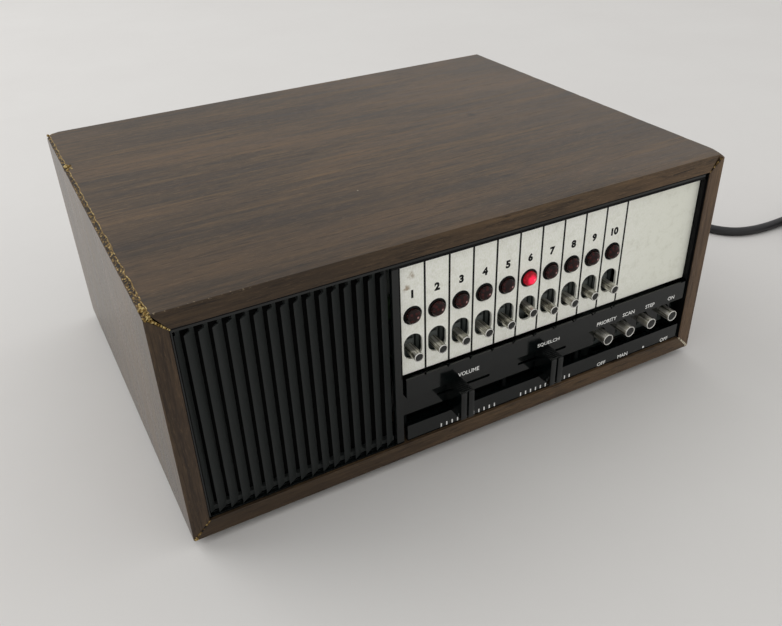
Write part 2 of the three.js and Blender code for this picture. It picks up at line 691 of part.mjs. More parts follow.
function addPlug() {
  const { x, y, length, width, thickness, neck } = PLUG;
  const middle = thickness / 2;
  const half = width / 2;
  const blade = { length: 17, half: 3.2, thickness: 1.5, spacing: 12.7 };
  const waist = 5;
  const neckHalf = 3.9;
  const lower = [
    [x, -half + 2],
    [x + 2, -half],
    [x + length * 0.5, -half + 1],
    [x + length, -waist],
    [x + length + neck, -neckHalf],
  ];
  const upper = lower.map(([px, py]) => [px, -py]).reverse();
  const outline = [...lower, ...upper];
  const shape = new THREE.Shape(outline.map(([px, py]) => new THREE.Vector2(px, y + py)));
  const body = new THREE.ExtrudeGeometry(shape, { depth: thickness, bevelEnabled: false });
  const neckRelief = [-1, 1].map((side) => {
    const z0 = side < 0 ? -1 : middle + neckHalf;
    const z1 = side < 0 ? middle - neckHalf : thickness + 1;
    return block([x + length, y - half, z0], [x + length + neck + 1, y + half, z1]);
  });
  const blades = [-1, 1].map((side) => {
    const centre = y + (side * blade.spacing) / 2;
    const thin = blade.thickness / 2;
    const tip = [x - blade.length, centre - thin, middle - blade.half];
    return block(tip, [x + 1, centre + thin, middle + blade.half]);
  });
  place("mains_plug", shaped([body, ...blades], neckRelief), FINISH.cordJacket, onTheFloor);
}

addCabinet();
addMoulding();
addGrille();
addControlPanel();
addFaceplate();
addLampLenses();
addChannelLevers();
addLampBoard();
addFunctionLevers();
addSlideControls();
addSpeaker();
addChassis();
addBoards();
addPowerSupply();
addRearPanel();
addRearSockets();
addStrainRelief();
addCord();
addPlug();

export default root;
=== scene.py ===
"""Looks for a table-top crystal scanner radio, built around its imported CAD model.

Everything is in metres in the CAD model's frame. Sizes below are in millimetres in the scanner's own
frame, where x runs right, y = 0 is the front edge of the wood and z = 0 is the cabinet's underside;
at() turns them into the model's frame.
"""
import math
import random

import bmesh
import bpy
from mathutils import Euler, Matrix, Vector, noise


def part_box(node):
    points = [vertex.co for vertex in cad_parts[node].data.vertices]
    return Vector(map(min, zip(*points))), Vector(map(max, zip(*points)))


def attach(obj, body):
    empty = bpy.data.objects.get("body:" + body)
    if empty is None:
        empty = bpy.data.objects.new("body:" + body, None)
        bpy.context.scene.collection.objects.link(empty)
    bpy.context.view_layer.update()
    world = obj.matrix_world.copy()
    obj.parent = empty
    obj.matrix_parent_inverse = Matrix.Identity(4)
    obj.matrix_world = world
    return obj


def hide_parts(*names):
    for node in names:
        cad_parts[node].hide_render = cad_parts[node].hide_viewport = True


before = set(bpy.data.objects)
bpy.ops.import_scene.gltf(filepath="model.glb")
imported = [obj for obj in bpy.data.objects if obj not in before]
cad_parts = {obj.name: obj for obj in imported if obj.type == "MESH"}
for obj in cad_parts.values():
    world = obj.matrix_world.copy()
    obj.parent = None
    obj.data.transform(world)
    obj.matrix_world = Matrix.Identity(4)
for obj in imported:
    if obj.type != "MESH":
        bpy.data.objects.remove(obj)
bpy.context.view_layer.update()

MM = 0.001
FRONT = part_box("cabinet_top")[0].y
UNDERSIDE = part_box("cabinet_bottom")[0].z
TOP = (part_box("cabinet_top")[1].z - UNDERSIDE) / MM
DEPTH = (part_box("cabinet_top")[1].y - FRONT) / MM
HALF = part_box("cabinet_right_side")[1].x / MM
BOARD = (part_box("cabinet_top")[1].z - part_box("cabinet_top")[0].z) / MM
CHANNELS = range(1, 11)
LIT = 6
# Printed ink stands this far in front of its face and reaches this far into it.
INK_OUT, INK_IN = 0.03, 0.02


def at(x, y, z):
    """A point given in the scanner's own millimetres, in the model's frame."""
    return Vector((x * MM, FRONT + y * MM, UNDERSIDE + z * MM))


def middle(node):
    """The middle of a node's box, in the scanner's own millimetres."""
    low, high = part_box(node)
    point = (low + high) / 2
    return point.x / MM, (point.y - FRONT) / MM, (point.z - UNDERSIDE) / MM


# ---------------------------------------------------------------------------------------------------
# Camera
# ---------------------------------------------------------------------------------------------------
CAMERA_PLACE = (-163.99, -238.38, 249.88)
CAMERA_ANGLES = (57.408, 1.771, -28.352)
CAMERA_LENS = 37.21


def add_camera():
    """The photograph's camera, solved from the cabinet's corners."""
    data = bpy.data.cameras.new("camera")
    data.sensor_width = 36
    data.lens = CAMERA_LENS
    data.clip_start = 0.01
    camera = bpy.data.objects.new("camera", data)
    camera.location = at(*CAMERA_PLACE)
    camera.rotation_euler = Euler([math.radians(angle) for angle in CAMERA_ANGLES], "XYZ")
    bpy.context.scene.collection.objects.link(camera)
    bpy.context.scene.camera = camera


add_camera()


# ---------------------------------------------------------------------------------------------------
# Mesh helpers
# ---------------------------------------------------------------------------------------------------
def link(name, data, body="cabinet"):
    """Adds an object for mesh or curve data and lets it ride on a body."""
    piece = bpy.data.objects.new(name, data)
    bpy.context.scene.collection.objects.link(piece)
    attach(piece, body)
    return piece


def finish_mesh(bm, name, body, mat, smooth=35):
    """Turns a bmesh, built in the scanner's own millimetres, into a piece."""
    for vertex in bm.verts:
        vertex.co = at(*vertex.co)
    bmesh.ops.recalc_face_normals(bm, faces=bm.faces)
    mesh = bpy.data.meshes.new(name)
    bm.to_mesh(mesh)
    bm.free()
    mesh.materials.append(mat)
    if smooth:
        mesh.shade_smooth()
        mesh.set_sharp_from_angle(angle=math.radians(smooth))
    return link(name, mesh, body)


def add_rings(bm, rings, closed=False):
    """Joins rings of points, each with the same count, into a closed loop or a skin with flat ends."""
    made = [[bm.verts.new(point) for point in ring] for ring in rings]
    count = len(made[0])
    pairs = list(zip(made, made[1:])) + ([(made[-1], made[0])] if closed else [])
    for low, high in pairs:
        for i in range(count):
            j = (i + 1) % count
            bm.faces.new((low[i], low[j], high[j], high[i]))
    if not closed:
        bm.faces.new(made[0])
        bm.faces.new(made[-1])


def circle(x, z, radius, steps=48):
    """Points round (x, z) on an upright plane."""
    angles = [2 * math.pi * i / steps for i in range(steps)]
    return [(x + radius * math.cos(a), z + radius * math.sin(a)) for a in angles]


def turned(bm, profile, x, z, steps=32, closed=False):
    """A solid turned about an axis along y through (x, z), from (radius, y) points off the axis."""
    rings = []
    for radius, y in profile:
        rings.append([(px, y, pz) for px, pz in circle(x, z, radius, steps)])
    add_rings(bm, rings, closed)


def block(bm, low, high, bevel=0.0, segments=2):
    """A box between two corners, with its edges rounded."""
    made = bmesh.ops.create_cube(bm, size=1)["verts"]
    for vertex in made:
        vertex.co = Vector([low[k] + (high[k] - low[k]) * (vertex.co[k] + 0.5) for k in range(3)])
    if bevel:
        edges = [edge for edge in bm.edges if edge.verts[0] in made]
        bmesh.ops.bevel(
            bm, geom=edges, offset=bevel, segments=segments, profile=0.5, affect="EDGES", clamp_overlap=True
        )


def tube(bm, points, radius, sides=8):
    """A round bead along points, with one radius or a list of them."""
    path = [Vector(p) for p in points]
    rings = []
    for i, point in enumerate(path):
        along = (path[min(i + 1, len(path) - 1)] - path[max(i - 1, 0)]).normalized()
        side = along.orthogonal().normalized()
        up = along.cross(side)
        size = radius[i] if isinstance(radius, list) else radius
        angles = [2 * math.pi * k / sides for k in range(sides)]
        rings.append([point + (side * math.cos(a) + up * math.sin(a)) * size for a in angles])
    add_rings(bm, rings)


def round_edges(piece, width, segments=2, angle=30):
    """Rounds a piece's sharp edges with a modifier."""
    bevel = piece.modifiers.new("bevel", "BEVEL")
    bevel.width = width * MM
    bevel.segments = segments
    bevel.limit_method = "ANGLE"
    bevel.angle_limit = math.radians(angle)
    bevel.harden_normals = True
    return piece


def soften(node, mat, width=0.25, segments=2, angle=30):
    """Keeps a CAD node's shape, rounds its edges and gives it a material."""
    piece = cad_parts[node]
    piece.data.materials.clear()
    piece.data.materials.append(mat)
    weld = piece.modifiers.new("weld", "WELD")
    weld.merge_threshold = 2e-6
    return round_edges(piece, width, segments, angle)


def stand_for(node):
    """Hides a CAD node, so that a piece can take its place."""
    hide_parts(node)


def add_flat(bm, curve, place):
    """Adds a flat curve or text, thickened by its own extrude, with each point moved by place()."""
    holder = bpy.data.objects.new("outline", curve)
    mesh = bpy.data.meshes.new_from_object(holder)
    before = set(bm.verts)
    bm.from_mesh(mesh)
    added = [vertex for vertex in bm.verts if vertex not in before]
    for vertex in added:
        vertex.co = place(vertex.co.copy())
    bmesh.ops.remove_doubles(bm, verts=added, dist=1e-4)
    bpy.data.objects.remove(holder)
    bpy.data.meshes.remove(mesh)
    bpy.data.curves.remove(curve)


def flat_outlines(bm, outlines, y0, y1):
    """An upright plate from y0 to y1, open where one outline of (x, z) points lies inside another."""
    curve = bpy.data.curves.new("outline", "CURVE")
    curve.dimensions = "2D"
    curve.fill_mode = "BOTH"
    curve.extrude = (y1 - y0) / 2
    for outline in outlines:
        spline = curve.splines.new("POLY")
        spline.points.add(len(outline) - 1)
        spline.use_cyclic_u = True
        for point, (x, z) in zip(spline.points, outline):
            point.co = (x, z, 0, 1)
    add_flat(bm, curve, lambda p: Vector((p.x, (y0 + y1) / 2 - p.z, p.y)))


def lettering(bm, text, x, z, height, y, weight, width=None):
    """Print centred on (x, z), as tall as height, and as wide as width where that is given."""
    curve = bpy.data.curves.new("text", "FONT")
    curve.body = text
    curve.size = 1
    curve.offset = weight
    curve.extrude = 0.5
    curve.resolution_u = 4
    holder = bpy.data.objects.new("measure", curve)
    mesh = bpy.data.meshes.new_from_object(holder)
    low = [min(v.co[k] for v in mesh.vertices) for k in (0, 1)]
    high = [max(v.co[k] for v in mesh.vertices) for k in (0, 1)]
    bpy.data.objects.remove(holder)
    bpy.data.meshes.remove(mesh)
    tall = height / (high[1] - low[1])
    wide = width / (high[0] - low[0]) if width else tall
    centre = [(low[k] + high[k]) / 2 for k in (0, 1)]

    def place(p):
        return Vector((x + (p.x - centre[0]) * wide, y - p.z * INK_OUT * 2, z + (p.y - centre[1]) * tall))
    add_flat(bm, curve, place)


def tall_slot(x, z0, z1, radius, steps=24):
    """The outline of an upright slot with round ends."""
    angles = [math.pi * i / steps for i in range(steps + 1)]
    upper = [(x + radius * math.cos(a), z1 - radius + radius * math.sin(a)) for a in angles]
    lower = [(x - radius * math.cos(a), z0 + radius - radius * math.sin(a)) for a in angles]
    return upper + lower


def channel_x(number):
    """The middle of a channel's strip: its lever's place."""
    return middle(f"channel_knob_{number}")[0]


# ---------------------------------------------------------------------------------------------------
# Material helpers
# ---------------------------------------------------------------------------------------------------
def srgb(r, g, b):
    """A colour given as 0 to 255 sRGB values, as linear RGBA."""
    def linear(c):
        c /= 255
        return c / 12.92 if c <= 0.04045 else ((c + 0.055) / 1.055) ** 2.4
    return (linear(r), linear(g), linear(b), 1.0)


class Shader:
    """A material and the few node steps that the materials here are made of."""

    def __init__(self, name, roughness=0.5, metallic=0.0, **sockets):
        self.mat = bpy.data.materials.new(name)
        self.mat.use_nodes = True
        self.tree = self.mat.node_tree
        self.bsdf = self.tree.nodes["Principled BSDF"]
        self.bsdf.inputs["Roughness"].default_value = roughness
        self.bsdf.inputs["Metallic"].default_value = metallic
        for socket, value in sockets.items():
            self.bsdf.inputs[socket.replace("_", " ")].default_value = value
        self.place = self.tree.nodes.new("ShaderNodeTexCoord").outputs["Object"]

    def link(self, source, target):
        self.tree.links.new(source, target)

    def scaled(self, scale):
        """The place on the object, stretched by a scale along each axis."""
        node = self.tree.nodes.new("ShaderNodeMapping")
        node.inputs["Scale"].default_value = scale
        self.link(self.place, node.inputs["Vector"])
        return node.outputs["Vector"]

    def noise(self, scale, detail=4, vector=None, rough=0.6, distortion=0.0):
        node = self.tree.nodes.new("ShaderNodeTexNoise")
        node.inputs["Scale"].default_value = scale
        node.inputs["Detail"].default_value = detail
        node.inputs["Roughness"].default_value = rough
        node.inputs["Distortion"].default_value = distortion
        self.link(vector or self.place, node.inputs["Vector"])
        return node.outputs["Fac"]

    def cells(self, scale):
        node = self.tree.nodes.new("ShaderNodeTexVoronoi")
        node.inputs["Scale"].default_value = scale
        self.link(self.place, node.inputs["Vector"])
        return node.outputs["Distance"]

    def ramp(self, fac, stops):
        """Stops are (position, colour or grey value) pairs."""
        node = self.tree.nodes.new("ShaderNodeValToRGB")
        elements = node.color_ramp.elements
        while len(elements) < len(stops):
            elements.new(0.5)
        for element, (position, value) in zip(elements, stops):
            element.position = position
            element.color = value if hasattr(value, "__len__") else (value, value, value, 1)
        self.link(fac, node.inputs["Fac"])
        return node.outputs["Color"]

    def mix(self, fac, a, b):
        """Colour a where fac is 0 and colour b where it is 1."""
        node = self.tree.nodes.new("ShaderNodeMix")
        node.data_type = "RGBA"
        for socket, value in (("Factor", fac), ("A", a), ("B", b)):
            target = [s for s in node.inputs if s.name == socket and s.enabled][0]
            if hasattr(value, "is_linked"):
                self.link(value, target)
            else:
                target.default_value = value
        return [s for s in node.outputs if s.enabled][0]

    def math(self, operation, a, b=0.0):
        node = self.tree.nodes.new("ShaderNodeMath")
        node.operation = operation
        for socket, value in zip(node.inputs, (a, b)):
            if hasattr(value, "is_linked"):
                self.link(value, socket)
            else:
                socket.default_value = value
        return node.outputs["Value"]

    def spread(self, value, low, high):
        """A value turned into 0 at low and 1 at high, whichever of the two is larger."""
        node = self.tree.nodes.new("ShaderNodeMapRange")
        node.interpolation_type = "SMOOTHSTEP"
        node.inputs["From Min"].default_value = min(low, high)
        node.inputs["From Max"].default_value = max(low, high)
        node.inputs["To Min"].default_value = 0 if low < high else 1
        node.inputs["To Max"].default_value = 1 if low < high else 0
        self.link(value, node.inputs["Value"])
        return node.outputs["Result"]

    def near(self, point, inner, outer):
        """1 within inner millimetres of a point and 0 beyond outer."""
        node = self.tree.nodes.new("ShaderNodeVectorMath")
        node.operation = "DISTANCE"
        node.inputs[1].default_value = point
        self.link(self.place, node.inputs[0])
        return self.spread(node.outputs["Value"], outer * MM, inner * MM)

    def axis(self, name):
        node = self.tree.nodes.new("ShaderNodeSeparateXYZ")
        self.link(self.place, node.inputs["Vector"])
        return node.outputs[name]

    def along(self, name, start, end):
        """0 at start and 1 at end, two places on an axis in the scanner's own millimetres."""
        zero = {"X": 0, "Y": FRONT, "Z": UNDERSIDE}[name]
        return self.spread(self.axis(name), zero + start * MM, zero + end * MM)

    def times(self, a, b):
        return self.math("MULTIPLY", a, b)

    def color(self, value):
        self.link(value, self.bsdf.inputs["Base Color"])

    def roughness(self, fac, low, high):
        self.link(self.ramp(fac, [(0.25, low), (0.75, high)]), self.bsdf.inputs["Roughness"])

    def bump(self, height, distance, strength=1.0):
        """Height as seen relief, with its distance in millimetres."""
        node = self.tree.nodes.new("ShaderNodeBump")
        node.inputs["Strength"].default_value = strength
        node.inputs["Distance"].default_value = distance * MM
        self.link(height, node.inputs["Height"])
        self.link(node.outputs["Normal"], self.bsdf.inputs["Normal"])


def shaded(color, factor, lift=0.0):
    """A colour made darker or paler."""
    return tuple(c * factor + lift for c in color[:3]) + (1,)


def moulded_plastic(name, color, roughness, grain=1800, depth=0.012, spread=0.06, gloss=0.5):
    """Moulded plastic with a faint grain, uneven gloss and a trace of dust."""
    s = Shader(name, Specular_IOR_Level=gloss)
    patchy = s.noise(60, 5)
    s.color(s.mix(s.ramp(patchy, [(0.35, 0.0), (0.8, 0.25)]), color, shaded(color, 1.7, 0.001)))
    s.roughness(s.noise(220, 4), roughness - spread, roughness + spread)
    s.bump(s.noise(grain, 3), depth)
    return s.mat


def louvre_plastic():
    """Satin black plastic with dust specks, painted lighter towards the back of the louvres where the next
    louvre's shade falls.
    """
    s = Shader("louvre_plastic", Specular_IOR_Level=0.3)
    # painted light: the louvres' faces lighter towards their back, against the shade between them
    deep = s.along("Y", 1.2, 4.6)
    painted_depth_light = s.mix(deep, srgb(34, 37, 37), srgb(56, 59, 58))
    specks = s.ramp(s.noise(1500, 4), [(0.66, 0.0), (0.76, 0.5)])
    s.color(s.mix(specks, painted_depth_light, srgb(88, 90, 88)))
    s.roughness(s.noise(220, 4), 0.36, 0.48)
    s.bump(s.noise(1800, 3), 0.012)
    return s.mat


def turned_metal(name, color, roughness, stretch=(1, 0.05, 1), metallic=1.0):
    """Bare metal with fine marks along its length and duller spots."""
    s = Shader(name, metallic=metallic)
    marks = s.noise(2600, 3, s.scaled(stretch))
    s.color(s.mix(s.ramp(marks, [(0.3, 0.0), (0.7, 1.0)]), shaded(color, 0.78), color))
    s.roughness(s.noise(500, 4), roughness - 0.08, roughness + 0.1)
    s.bump(marks, 0.01)
    return s.mat


def lever_metal():
    """Drawn metal tube: long bright and dark streaks along its length, both drawing marks and painted
    reflection bands.
    """
    s = Shader("lever_metal", metallic=0.85)
    streaks = s.noise(620, 3, s.scaled((1, 0.02, 1)), 0.6)
    # painted reflection: the pale bands of the streaks stand for highlights along the tube
    s.color(s.ramp(streaks, [
        (0.36, srgb(112, 110, 98)),
        (0.5, srgb(178, 175, 161)),
        (0.58, srgb(236, 234, 226)),
        (0.66, srgb(162, 159, 146)),
    ]))
    s.roughness(streaks, 0.24, 0.34)
    s.bump(s.noise(2400, 3, s.scaled((1, 0.05, 1))), 0.008)
    return s.mat


KNOT = (66, 108)


def walnut(name, grain):
    """Dark walnut veneer with its grain along x or z, rubbed pale at the top's front left edge, with
    painted shade on the front faces and the top's front left and painted light towards the right.
    """
    s = Shader(name, Specular_IOR_Level=0.28)

    def stretched(share):
        return s.scaled({"x": (share, 1, 1), "z": (1, 1, share)}[grain])
    bands = s.noise(34, 5, stretched(0.2), 0.6, 0.6)
    streaks = s.noise(300, 7, stretched(0.055), 0.72, 0.6)
    lines = s.noise(1000, 5, stretched(0.05), 0.75, 0.4)
    fibres = s.noise(2600, 4, stretched(0.09), 0.7)
    base = s.ramp(streaks, [
        (0.30, srgb(34, 26, 18)),
        (0.44, srgb(58, 46, 33)),
        (0.56, srgb(79, 63, 45)),
        (0.70, srgb(106, 85, 60)),
    ])
    warm = s.mix(s.ramp(bands, [(0.46, 0.0), (0.66, 0.5)]), base, srgb(104, 80, 55))
    cool = s.mix(s.ramp(bands, [(0.30, 0.6), (0.44, 0.0)]), warm, srgb(48, 38, 34))
    pores = s.mix(s.ramp(lines, [(0.34, 0.9), (0.48, 0.0)]), cool, srgb(24, 18, 14))
    flecked = s.mix(s.ramp(fibres, [(0.54, 0.0), (0.74, 0.6)]), pores, srgb(136, 110, 82))
    # painted shade: the front faces darker towards the left
    shade = s.times(s.along("Y", 0.8, 0.25), s.times(s.along("X", 90, -130), 0.42))
    shaded_front = s.mix(shade, flecked, srgb(30, 20, 12))
    if grain == "x":
        # painted shade: the top darker towards its front left, where it catches less sheen
        painted_top_shade = s.times(s.along("Y", 110, 0), s.along("X", 60, -100))
        top_shaded = s.mix(s.times(painted_top_shade, 0.32), shaded_front, srgb(36, 27, 18))
        knot = s.near(at(*KNOT, TOP), 0.6, 3.5)
        knotted = s.mix(s.times(knot, 0.7), top_shaded, srgb(22, 18, 16))
        edge = s.times(s.along("Y", 0.9, 0.3), s.along("Z", TOP - 0.9, TOP - 0.3))
        worn = s.times(edge, s.spread(s.noise(520, 5), 0.56, 0.68))
        s.color(s.mix(s.times(worn, s.along("X", -70, -118)), knotted, srgb(158, 142, 116)))
        s.roughness(streaks, 0.38, 0.52)
    else:
        # painted light: the upright boards lighter towards the right, in streaks that follow the grain's
        # bands
        painted_light_right = s.times(s.ramp(bands, [(0.2, 0.26), (0.8, 0.1)]), s.along("X", -190, 80))
        s.color(s.mix(painted_light_right, shaded_front, srgb(128, 96, 68)))
        s.roughness(streaks, 0.22, 0.34)
    s.bump(s.math("ADD", lines, fibres), 0.02)
    return s.mat


# ---------------------------------------------------------------------------------------------------
# Materials
# ---------------------------------------------------------------------------------------------------
WOOD_X = walnut("walnut_along_x", "x")
WOOD_Z = walnut("walnut_along_z", "z")
BLACK = moulded_plastic("black_moulding", srgb(4, 8, 8), 0.12, 900, 0.002, 0.04, 0.45)
GRILLE = louvre_plastic()
# painted shade: near-black for the rings in the lamp holes, the moulding's shadow lines, the sheet beside
# the panel and the screws' slots
PAINTED_SHADE = moulded_plastic("painted_shade_black", srgb(4, 4, 5), 0.6, gloss=0.15)
GREY_SWITCH = moulded_plastic("switch_plastic", srgb(68, 73, 71), 0.4)
RUBBER = moulded_plastic("foot_rubber", srgb(24, 24, 24), 0.8, 900, 0.03)
JACKET = moulded_plastic("cord_jacket", srgb(30, 30, 32), 0.46, 1200, 0.02)
HARDBOARD = moulded_plastic("rear_hardboard", srgb(26, 25, 24), 0.7, 2600, 0.03)
CIRCUIT = moulded_plastic("circuit_board_lacquer", srgb(58, 84, 48), 0.4)
PAPER = moulded_plastic("speaker_paper", srgb(24, 23, 22), 0.9, 1400, 0.08)
FERRITE = moulded_plastic("ferrite", srgb(44, 44, 46), 0.55, 1600, 0.03)
SLEEVE = moulded_plastic("capacitor_sleeve", srgb(36, 58, 104), 0.35)
LEVER = lever_metal()
RIM = turned_metal("polished_rim", srgb(246, 245, 240), 0.16, metallic=0.8)
CORE = moulded_plastic("lever_core", srgb(38, 39, 38), 0.45, 1400, 0.03, gloss=0.3)
NICKEL = turned_metal("nickel", srgb(205, 203, 196), 0.22)
STEEL = turned_metal("plated_steel", srgb(150, 154, 156), 0.36, (1, 1, 1))
IRON = turned_metal("transformer_iron", srgb(92, 90, 86), 0.5, (1, 1, 1))


def silver_plate():
    """Satin silver paint on an aluminium plate, finely grained, with old stains."""
    s = Shader("silver_plate", metallic=0.15, Specular_IOR_Level=0.45)
    grained = s.noise(1700, 5, s.scaled((1, 1, 0.5)), 0.7)
    mottled = s.noise(260, 5, None, 0.7)
    # whiter left of x = 60 mm, a little greyer towards the plate's right end
    whiter_left = s.mix(s.along("X", 110, 60), srgb(244, 245, 234), srgb(255, 255, 250))
    base = s.mix(s.ramp(grained, [(0.36, 0.0), (0.64, 1.0)]), srgb(240, 242, 229), whiter_left)
    patchy = s.mix(s.ramp(mottled, [(0.5, 0.0), (0.8, 0.45)]), base, srgb(206, 206, 188))
    upper = s.near(at(channel_x(1) - 0.6, 3.6, 90.5), 0.6, 2.6)
    lower = s.near(at(channel_x(1) - 2.6, 3.6, 85), 0.6, 2.4)
    stain = s.times(s.math("ADD", upper, lower), s.spread(s.noise(300, 5), 0.44, 0.6))
    s.color(s.mix(s.times(stain, 0.75), patchy, srgb(140, 112, 70)))
    s.roughness(mottled, 0.36, 0.5)
    s.bump(grained, 0.008)
    return s.mat


def lens(name, dark, light, glow=None):
    """A grainy red lens with a small painted highlight right of its middle; glow lights it from behind."""
    s = Shader(name, roughness=0.1, Coat_Weight=0.25, Coat_Roughness=0.04, Specular_IOR_Level=0.1)
    grains = s.cells(700)
    cloudy = s.mix(s.ramp(grains, [(0.1, 0.0), (0.6, 1.0)]), light, dark)
    # painted highlight: a pale spot right of each lens's middle, repeated at the channel pitch
    from_first = s.math("SUBTRACT", s.axis("X"), (channel_x(1) - PITCH / 2) * MM)
    share = s.math("FRACT", s.math("DIVIDE", from_first, PITCH * MM))
    across = s.math("ABSOLUTE", s.math("SUBTRACT", share, 0.5 + 1.15 / PITCH))
    upward = s.math("ABSOLUTE", s.math("SUBTRACT", s.axis("Z"), UNDERSIDE + (LAMP_Z - 0.1) * MM))
    painted_glint = s.times(s.spread(across, 0.6 / PITCH, 0.15 / PITCH), s.spread(upward, 0.65 * MM, 0.15 * MM))
    s.color(s.mix(s.times(painted_glint, 0.6), cloudy, srgb(226, 176, 172)))
    s.bump(grains, 0.07)
    if glow:
        lit = s.ramp(s.near(at(channel_x(LIT), 1, LAMP_Z), 0.6, 3.9), [(0.36, 0.0), (0.92, 1.0)])
        s.link(s.mix(lit, dark, glow), s.bsdf.inputs["Emission Color"])
        s.bsdf.inputs["Emission Strength"].default_value = 1.0
    return s.mat


def ink(name, color):
    """Screen-printed ink, a little uneven."""
    s = Shader(name, Specular_IOR_Level=0.15)
    worn = s.noise(2200, 4)
    s.color(s.mix(s.ramp(worn, [(0.35, 0.0), (0.75, 1.0)]), color, shaded(color, 0.8)))
    s.roughness(worn, 0.5, 0.7)
    return s.mat


def glue(name, scale, stops):
    """Dried glue or chipboard crumbs: lumpy, and coloured by the ramp's stops."""
    s = Shader(name, Specular_IOR_Level=0.2)
    lumps = s.noise(scale, 5, None, 0.7)
    s.color(s.ramp(lumps, stops))
    s.roughness(lumps, 0.35, 0.7)
    s.bump(lumps, 0.3)
    return s.mat


def speaker_cloth():
    """Black woven cloth."""
    s = Shader("speaker_cloth", Specular_IOR_Level=0.2)
    weave = s.times(s.noise(1500, 2, s.scaled((1, 1, 0.2))), s.noise(1500, 2, s.scaled((0.2, 1, 1))))
    s.color(s.ramp(weave, [(0.15, srgb(4, 4, 4)), (0.4, srgb(14, 14, 14))]))
    s.roughness(weave, 0.85, 0.95)
    s.bump(weave, 0.15)
    return s.mat


LAMP_Z = middle("lamp_lens_1")[2]
PITCH = channel_x(2) - channel_x(1)
SILVER = silver_plate()
RED = lens("dark_red_lens", srgb(27, 8, 8), srgb(70, 20, 20))
GLOWING = lens("lit_red_lens", srgb(110, 4, 16), srgb(190, 20, 44), srgb(255, 36, 78))
BLACK_INK = ink("black_ink", srgb(5, 5, 5))
WHITE_INK = ink("white_ink", srgb(250, 251, 248))
CRUMBS = glue("chipboard_crumbs", 760, [
    (0.42, srgb(7, 5, 3)),
    (0.50, srgb(48, 34, 15)),
    (0.58, srgb(122, 95, 46)),
    (0.66, srgb(214, 190, 132)),
])
GLUE = glue("old_glue", 800, [
    (0.38, srgb(58, 42, 18)),
    (0.5, srgb(140, 111, 54)),
    (0.62, srgb(216, 194, 134)),
])
BARE = glue("bare_chipboard", 1100, [
    (0.3, srgb(176, 160, 130)),
    (0.6, srgb(226, 218, 198)),
    (0.8, srgb(244, 240, 228)),
])
CLOTH = speaker_cloth()


# ---------------------------------------------------------------------------------------------------
# Mains cord
# ---------------------------------------------------------------------------------------------------
CORD_RADIUS = 2.8
FLOOR = -UNDERSIDE / MM
# The way down from the strain relief, then the route on the floor, then the end up into the plug.
DROP = [
    (95, 222.3, 24),
    (95.2, 234, 23.4),
    (96.5, 247, 20.4),
    (100, 260, 14.8),
    (106.5, 272.5, 8.4),
    (117, 283, 4.2),
]
ROUTE = [
    (131, 290), (148, 292.5), (166, 290.5), (183, 283.5), (198, 271.5),
    (209.5, 255.5), (217.5, 237), (223.5, 217), (228.5, 196), (233, 174),
    (237, 152), (240.8, 130), (244.6, 109), (249.1, 93.2), (254.2, 85.6),
    (260.8, 80.2), (269.6, 77), (279.1, 75.6), (288.6, 75.3), (298.7, 75.7),
    (305, 76),
]
TAIL = [
    (328.5, -8.4, 6.4),
    (320.6, -12.4, 5),
    (311.5, -15.6, 4.7),
    (303, -16.9, 5.6),
]
COIL = {"x": 328, "y": 36.5, "inner": 28, "turns": 3}
# How far the plug's blades stand out of its body.
BLADE = 17


def coil_points():
    """Three turns inwards on the floor, then three turns outwards on top of them, seen clockwise."""
    per_turn = 24
    step = 2 * CORD_RADIUS
    outer = COIL["inner"] + step * (COIL["turns"] - 1)
    start = 78
    first = COIL["turns"]
    last = 2 * first + (start + 60) / 360
    count = round(last * per_turn)
    points = []
    for i in range(count + 1):
        turn = last * i / count
        inward = min(turn, first) / first
        outward = max(turn - first, 0) / (last - first)
        radius = outer - (outer - COIL["inner"]) * (inward - outward)
        climb = min(max((turn - first + 0.2) / 0.4, 0), 1)
        height = CORD_RADIUS + step * climb * climb * (3 - 2 * climb)
        angle = math.radians(start - 360 * turn)
        x = COIL["x"] + radius * math.cos(angle)
        y = COIL["y"] + radius * math.sin(angle)
        points.append((x, y, height))
    return points


def add_plug_blades():
    """Bright metal skins over the plug's two blades, found from the corners of their tips."""
    skin = 0.05
    low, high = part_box("mains_plug")
    tips = [v.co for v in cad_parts["mains_plug"].data.vertices if v.co.x < low.x + MM]
    bm = bmesh.new()
    for side in (-1, 1):
        corners = [p for p in tips if (p.y - (low.y + high.y) / 2) * side > 0]
        ys = [(p.y - FRONT) / MM for p in corners]
        zs = [(p.z - UNDERSIDE) / MM for p in corners]
        tip = (low.x / MM - skin, min(ys) - skin, min(zs) - skin)
        root = (low.x / MM + BLADE, max(ys) + skin, max(zs) + skin)
        block(bm, tip, root, 0.2)
    blades = finish_mesh(bm, "plug_blades", "cabinet", NICKEL, 40)
    return blades


def add_cord():
    """The cord's curve, which stands for the three solids of the CAD model's cord."""
    points = DROP + [(x, y, CORD_RADIUS) for x, y in ROUTE] + coil_points() + TAIL
    curve = bpy.data.curves.new("mains_cord", "CURVE")
    curve.dimensions = "3D"
    curve.bevel_depth = CORD_RADIUS * MM
    curve.bevel_resolution = 5
    curve.use_fill_caps = True
    curve.resolution_u = 6
    spline = curve.splines.new("NURBS")
    spline.points.add(len(points) - 1)
    for point, (x, y, height) in zip(spline.points, points):
        point.co = (*at(x, y, height + FLOOR), 1)
    spline.order_u = 3
    spline.use_endpoint_u = True
    curve.materials.append(JACKET)
    cord = link("mains_cord", curve)
    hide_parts("mains_cord_run", "mains_cord_coil", "mains_cord_tail")
    ends = [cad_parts["mains_plug"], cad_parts["strain_relief"], add_plug_blades()]


add_cord()


